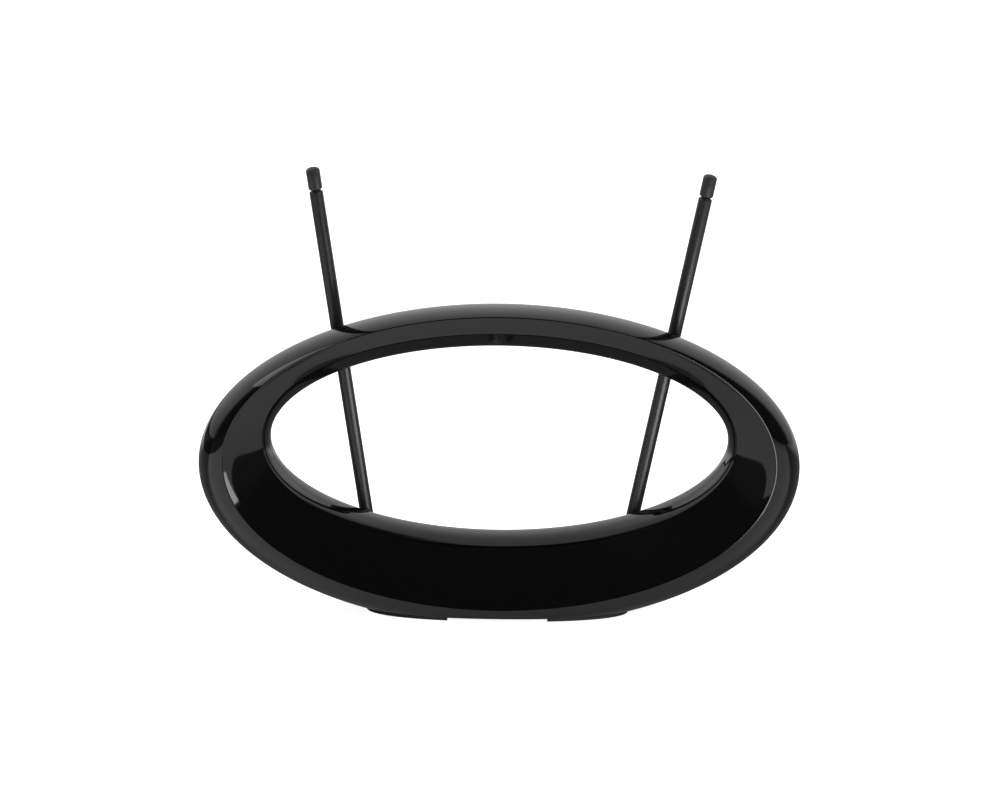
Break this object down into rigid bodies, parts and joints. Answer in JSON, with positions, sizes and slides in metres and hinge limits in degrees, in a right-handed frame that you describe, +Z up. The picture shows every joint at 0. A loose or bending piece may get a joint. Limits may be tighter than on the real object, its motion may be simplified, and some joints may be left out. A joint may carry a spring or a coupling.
{
  "type": "indoor television antenna",
  "caption": "Indoor television antenna: an upright oval ring with a dished face on a flat foot, and tilting telescopic masts on its back.",
  "frame": {"origin": "on the table, under the middle of the antenna's bounding box with its masts as they stand in the picture", "axes": "+X to the viewer's right, +Y from the face to the back, +Z up"},
  "size_m": [0.293, 0.0414, 0.2201],
  "materials": {
    "case_black": "high-gloss moulded black",
    "pad_rubber": "matt black",
    "black_steel": "blackened screw steel",
    "aluminium_strip": "stamped strip, satin",
    "red_wire": "insulated wire, red",
    "black_wire": "insulated wire, black",
    "board_green": "lacquered board",
    "zinc_steel": "zinc plated",
    "ferrite": "pressed ferrite, dark grey",
    "copper_wire": "enamelled copper",
    "nickel": "nickel plated, satin",
    "white_plastic": "natural white",
    "contact_brass": "plated spring contact",
    "mast_black": "satin black coating",
    "knuckle_black": "satin black die casting",
    "cap_black": "fine matt black"
  },
  "bodies": {
    "housing": {"front_shell": "case_black", "rear_shell": "case_black", "left_foot_pad": "pad_rubber", "right_foot_pad": "pad_rubber", "case_screws": "black_steel", "loop_element": "aluminium_strip", "loop_leads": "red_wire", "mast_leads": "black_wire", "circuit_board": "board_green", "board_screws": "zinc_steel", "ferrite_core": "ferrite", "core_winding": "copper_wire", "coax_jack": "nickel", "jack_insulator": "white_plastic", "jack_contact": "contact_brass", "jack_washer": "zinc_steel", "jack_nut": "nickel", "left_pivot_screw": "black_steel", "left_pivot_nut": "zinc_steel", "left_solder_tag": "contact_brass", "left_spring_washer": "zinc_steel", "right_pivot_screw": "black_steel", "right_pivot_nut": "zinc_steel", "right_solder_tag": "contact_brass", "right_spring_washer": "zinc_steel"},
    "left_mast": {"left_knuckle": "knuckle_black", "left_base_tube": "mast_black"},
    "left_second": {"left_second_tube": "mast_black"},
    "left_third": {"left_third_tube": "mast_black"},
    "left_top": {"left_top_tube": "mast_black", "left_tip_cap": "cap_black"},
    "right_mast": {"right_knuckle": "knuckle_black", "right_base_tube": "mast_black"},
    "right_second": {"right_second_tube": "mast_black"},
    "right_third": {"right_third_tube": "mast_black"},
    "right_top": {"right_top_tube": "mast_black", "right_tip_cap": "cap_black"}
  },
  "joints": [
    {"name": "left_tilt", "type": "hinge", "parent": "housing", "child": "left_mast", "pos_m": [-0.062, 0.01335, 0.0201], "axis": [0, -1, 0], "range_deg": [-8.2, 81.8]},
    {"name": "left_second_slide", "type": "slide", "parent": "left_mast", "child": "left_second", "axis": [-0.1426, 0, 0.9898], "range_m": [0, 0.16]},
    {"name": "left_third_slide", "type": "slide", "parent": "left_second", "child": "left_third", "axis": [-0.1426, 0, 0.9898], "range_m": [0, 0.16]},
    {"name": "left_top_slide", "type": "slide", "parent": "left_third", "child": "left_top", "axis": [-0.1426, 0, 0.9898], "range_m": [0, 0.16]},
    {"name": "right_tilt", "type": "hinge", "parent": "housing", "child": "right_mast", "pos_m": [0.062, 0.01335, 0.0201], "axis": [0, 1, 0], "range_deg": [-10.65, 79.35]},
    {"name": "right_second_slide", "type": "slide", "parent": "right_mast", "child": "right_second", "axis": [0.1848, 0, 0.9828], "range_m": [0, 0.16]},
    {"name": "right_third_slide", "type": "slide", "parent": "right_second", "child": "right_third", "axis": [0.1848, 0, 0.9828], "range_m": [0, 0.16]},
    {"name": "right_top_slide", "type": "slide", "parent": "right_third", "child": "right_top", "axis": [0.1848, 0, 0.9828], "range_m": [0, 0.16]}
  ]
}
